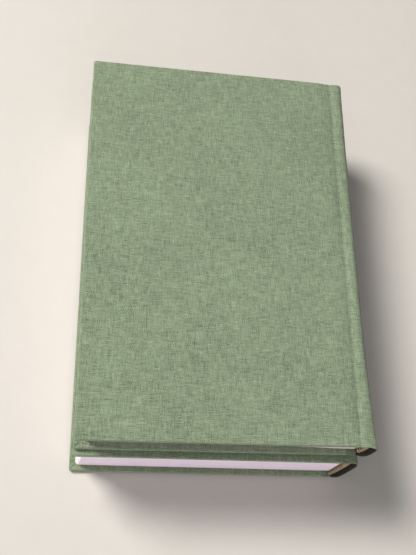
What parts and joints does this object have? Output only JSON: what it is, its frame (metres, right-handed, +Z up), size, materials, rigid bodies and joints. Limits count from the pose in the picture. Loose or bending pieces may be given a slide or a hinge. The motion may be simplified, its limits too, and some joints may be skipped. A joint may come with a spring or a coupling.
{
  "type": "stacked pair of hardback books",
  "caption": "Two matching cloth-bound hardback books, a thin one lying on a thick one, with covers that open at the joint and leaves that turn.",
  "frame": {"origin": "centre of the footprint, on the plane that the lower book rests on", "axes": "+Z up, out of the uppermost cover; +X from the fore-edges to the spines; +Y from the nearer ends of the books, their heads, to the farther ends, their tails"},
  "size_m": [0.1654, 0.2448, 0.068],
  "materials": {
    "cover_cloth": "sage green woven bookcloth, matt, plain weave",
    "board": "grey millboard",
    "endpaper": "plain white endpaper",
    "book_paper": "smooth white book paper, cut edges",
    "end_band": "worked olive and buff band",
    "mull": "open starched cotton",
    "lining_paper": "brown kraft paper",
    "inlay_card": "grey flexible card",
    "thread": "waxed linen thread"
  },
  "bodies": {
    "lower_book": {"lower_back_board": "board", "lower_back_cloth": "cover_cloth", "lower_back_flyleaf": "endpaper", "lower_back_joint_cloth": "cover_cloth", "lower_back_pastedown": "endpaper", "lower_front_joint_cloth": "cover_cloth", "lower_gathering_01": "book_paper", "lower_gathering_02": "book_paper", "lower_gathering_03": "book_paper", "lower_gathering_04": "book_paper", "lower_gathering_05": "book_paper", "lower_gathering_06": "book_paper", "lower_gathering_07": "book_paper", "lower_gathering_08": "book_paper", "lower_gathering_09": "book_paper", "lower_gathering_10": "book_paper", "lower_gathering_11": "book_paper", "lower_gathering_12": "book_paper", "lower_headband": "end_band", "lower_mull": "mull", "lower_sewing_threads": "thread", "lower_spine_cloth": "cover_cloth", "lower_spine_inlay": "inlay_card", "lower_spine_lining": "lining_paper", "lower_tailband": "end_band"},
    "lower_cover": {"lower_front_board": "board", "lower_front_cloth": "cover_cloth", "lower_front_pastedown": "endpaper"},
    "lower_front_flyleaf_sheet": {"lower_front_flyleaf": "endpaper"},
    "lower_turned_leaf_1_sheet": {"lower_turned_leaf_1": "book_paper"},
    "lower_turned_leaf_2_sheet": {"lower_turned_leaf_2": "book_paper"},
    "lower_turned_leaf_3_sheet": {"lower_turned_leaf_3": "book_paper"},
    "upper_book": {"upper_back_board": "board", "upper_back_cloth": "cover_cloth", "upper_back_flyleaf": "endpaper", "upper_back_joint_cloth": "cover_cloth", "upper_back_pastedown": "endpaper", "upper_front_joint_cloth": "cover_cloth", "upper_gathering_01": "book_paper", "upper_gathering_02": "book_paper", "upper_gathering_03": "book_paper", "upper_gathering_04": "book_paper", "upper_gathering_05": "book_paper", "upper_gathering_06": "book_paper", "upper_headband": "end_band", "upper_mull": "mull", "upper_sewing_threads": "thread", "upper_spine_cloth": "cover_cloth", "upper_spine_inlay": "inlay_card", "upper_spine_lining": "lining_paper", "upper_tailband": "end_band"},
    "upper_cover": {"upper_front_board": "board", "upper_front_cloth": "cover_cloth", "upper_front_pastedown": "endpaper"},
    "upper_front_flyleaf_sheet": {"upper_front_flyleaf": "endpaper"},
    "upper_turned_leaf_1_sheet": {"upper_turned_leaf_1": "book_paper"},
    "upper_turned_leaf_2_sheet": {"upper_turned_leaf_2": "book_paper"},
    "upper_turned_leaf_3_sheet": {"upper_turned_leaf_3": "book_paper"}
  },
  "joints": [
    {"name": "upper_lift", "type": "slide", "parent": "lower_book", "child": "upper_book", "axis": [0, 0, 1], "range_m": [0, 0.51]},
    {"name": "upper_cover_hinge", "type": "hinge", "parent": "upper_book", "child": "upper_cover", "pos_m": [0.07495, 0.00204, 0.068], "axis": [-0.0045, 1, 0], "range_deg": [0, 175]},
    {"name": "upper_front_flyleaf_fold", "type": "hinge", "parent": "upper_book", "child": "upper_front_flyleaf_sheet", "pos_m": [0.07495, 0.00204, 0.068], "axis": [-0.0045, 1, 0], "range_deg": [0, 168.01]},
    {"name": "upper_turned_leaf_1_fold", "type": "hinge", "parent": "upper_book", "child": "upper_turned_leaf_1_sheet", "pos_m": [0.07495, 0.00204, 0.068], "axis": [-0.0045, 1, 0], "range_deg": [0, 162.76]},
    {"name": "upper_turned_leaf_2_fold", "type": "hinge", "parent": "upper_book", "child": "upper_turned_leaf_2_sheet", "pos_m": [0.07495, 0.00204, 0.068], "axis": [-0.0045, 1, 0], "range_deg": [0, 157.51]},
    {"name": "upper_turned_leaf_3_fold", "type": "hinge", "parent": "upper_book", "child": "upper_turned_leaf_3_sheet", "pos_m": [0.07495, 0.00204, 0.068], "axis": [-0.0045, 1, 0], "range_deg": [0, 152.26]},
    {"name": "lower_cover_hinge", "type": "hinge", "parent": "lower_book", "child": "lower_cover", "pos_m": [0.0743, -0.00207, 0.0445], "axis": [0, 1, 0], "range_deg": [0, 175]},
    {"name": "lower_front_flyleaf_fold", "type": "hinge", "parent": "lower_book", "child": "lower_front_flyleaf_sheet", "pos_m": [0.0743, -0.00207, 0.0445], "axis": [0, 1, 0], "range_deg": [0, 168.01]},
    {"name": "lower_turned_leaf_1_fold", "type": "hinge", "parent": "lower_book", "child": "lower_turned_leaf_1_sheet", "pos_m": [0.0743, -0.00207, 0.0445], "axis": [0, 1, 0], "range_deg": [0, 162.76]},
    {"name": "lower_turned_leaf_2_fold", "type": "hinge", "parent": "lower_book", "child": "lower_turned_leaf_2_sheet", "pos_m": [0.0743, -0.00207, 0.0445], "axis": [0, 1, 0], "range_deg": [0, 157.51]},
    {"name": "lower_turned_leaf_3_fold", "type": "hinge", "parent": "lower_book", "child": "lower_turned_leaf_3_sheet", "pos_m": [0.0743, -0.00207, 0.0445], "axis": [0, 1, 0], "range_deg": [0, 152.26]}
  ],
  "couplings": [
    {"joint": "upper_front_flyleaf_fold", "follows": "upper_cover_hinge", "ratio": 0.96},
    {"joint": "upper_turned_leaf_1_fold", "follows": "upper_cover_hinge", "ratio": 0.93},
    {"joint": "upper_turned_leaf_2_fold", "follows": "upper_cover_hinge", "ratio": 0.9},
    {"joint": "upper_turned_leaf_3_fold", "follows": "upper_cover_hinge", "ratio": 0.87},
    {"joint": "lower_cover_hinge", "follows": "upper_lift", "rad_per_m": 5.98},
    {"joint": "lower_front_flyleaf_fold", "follows": "upper_lift", "rad_per_m": 5.7408},
    {"joint": "lower_turned_leaf_1_fold", "follows": "upper_lift", "rad_per_m": 5.5614},
    {"joint": "lower_turned_leaf_2_fold", "follows": "upper_lift", "rad_per_m": 5.382},
    {"joint": "lower_turned_leaf_3_fold", "follows": "upper_lift", "rad_per_m": 5.2026}
  ]
}
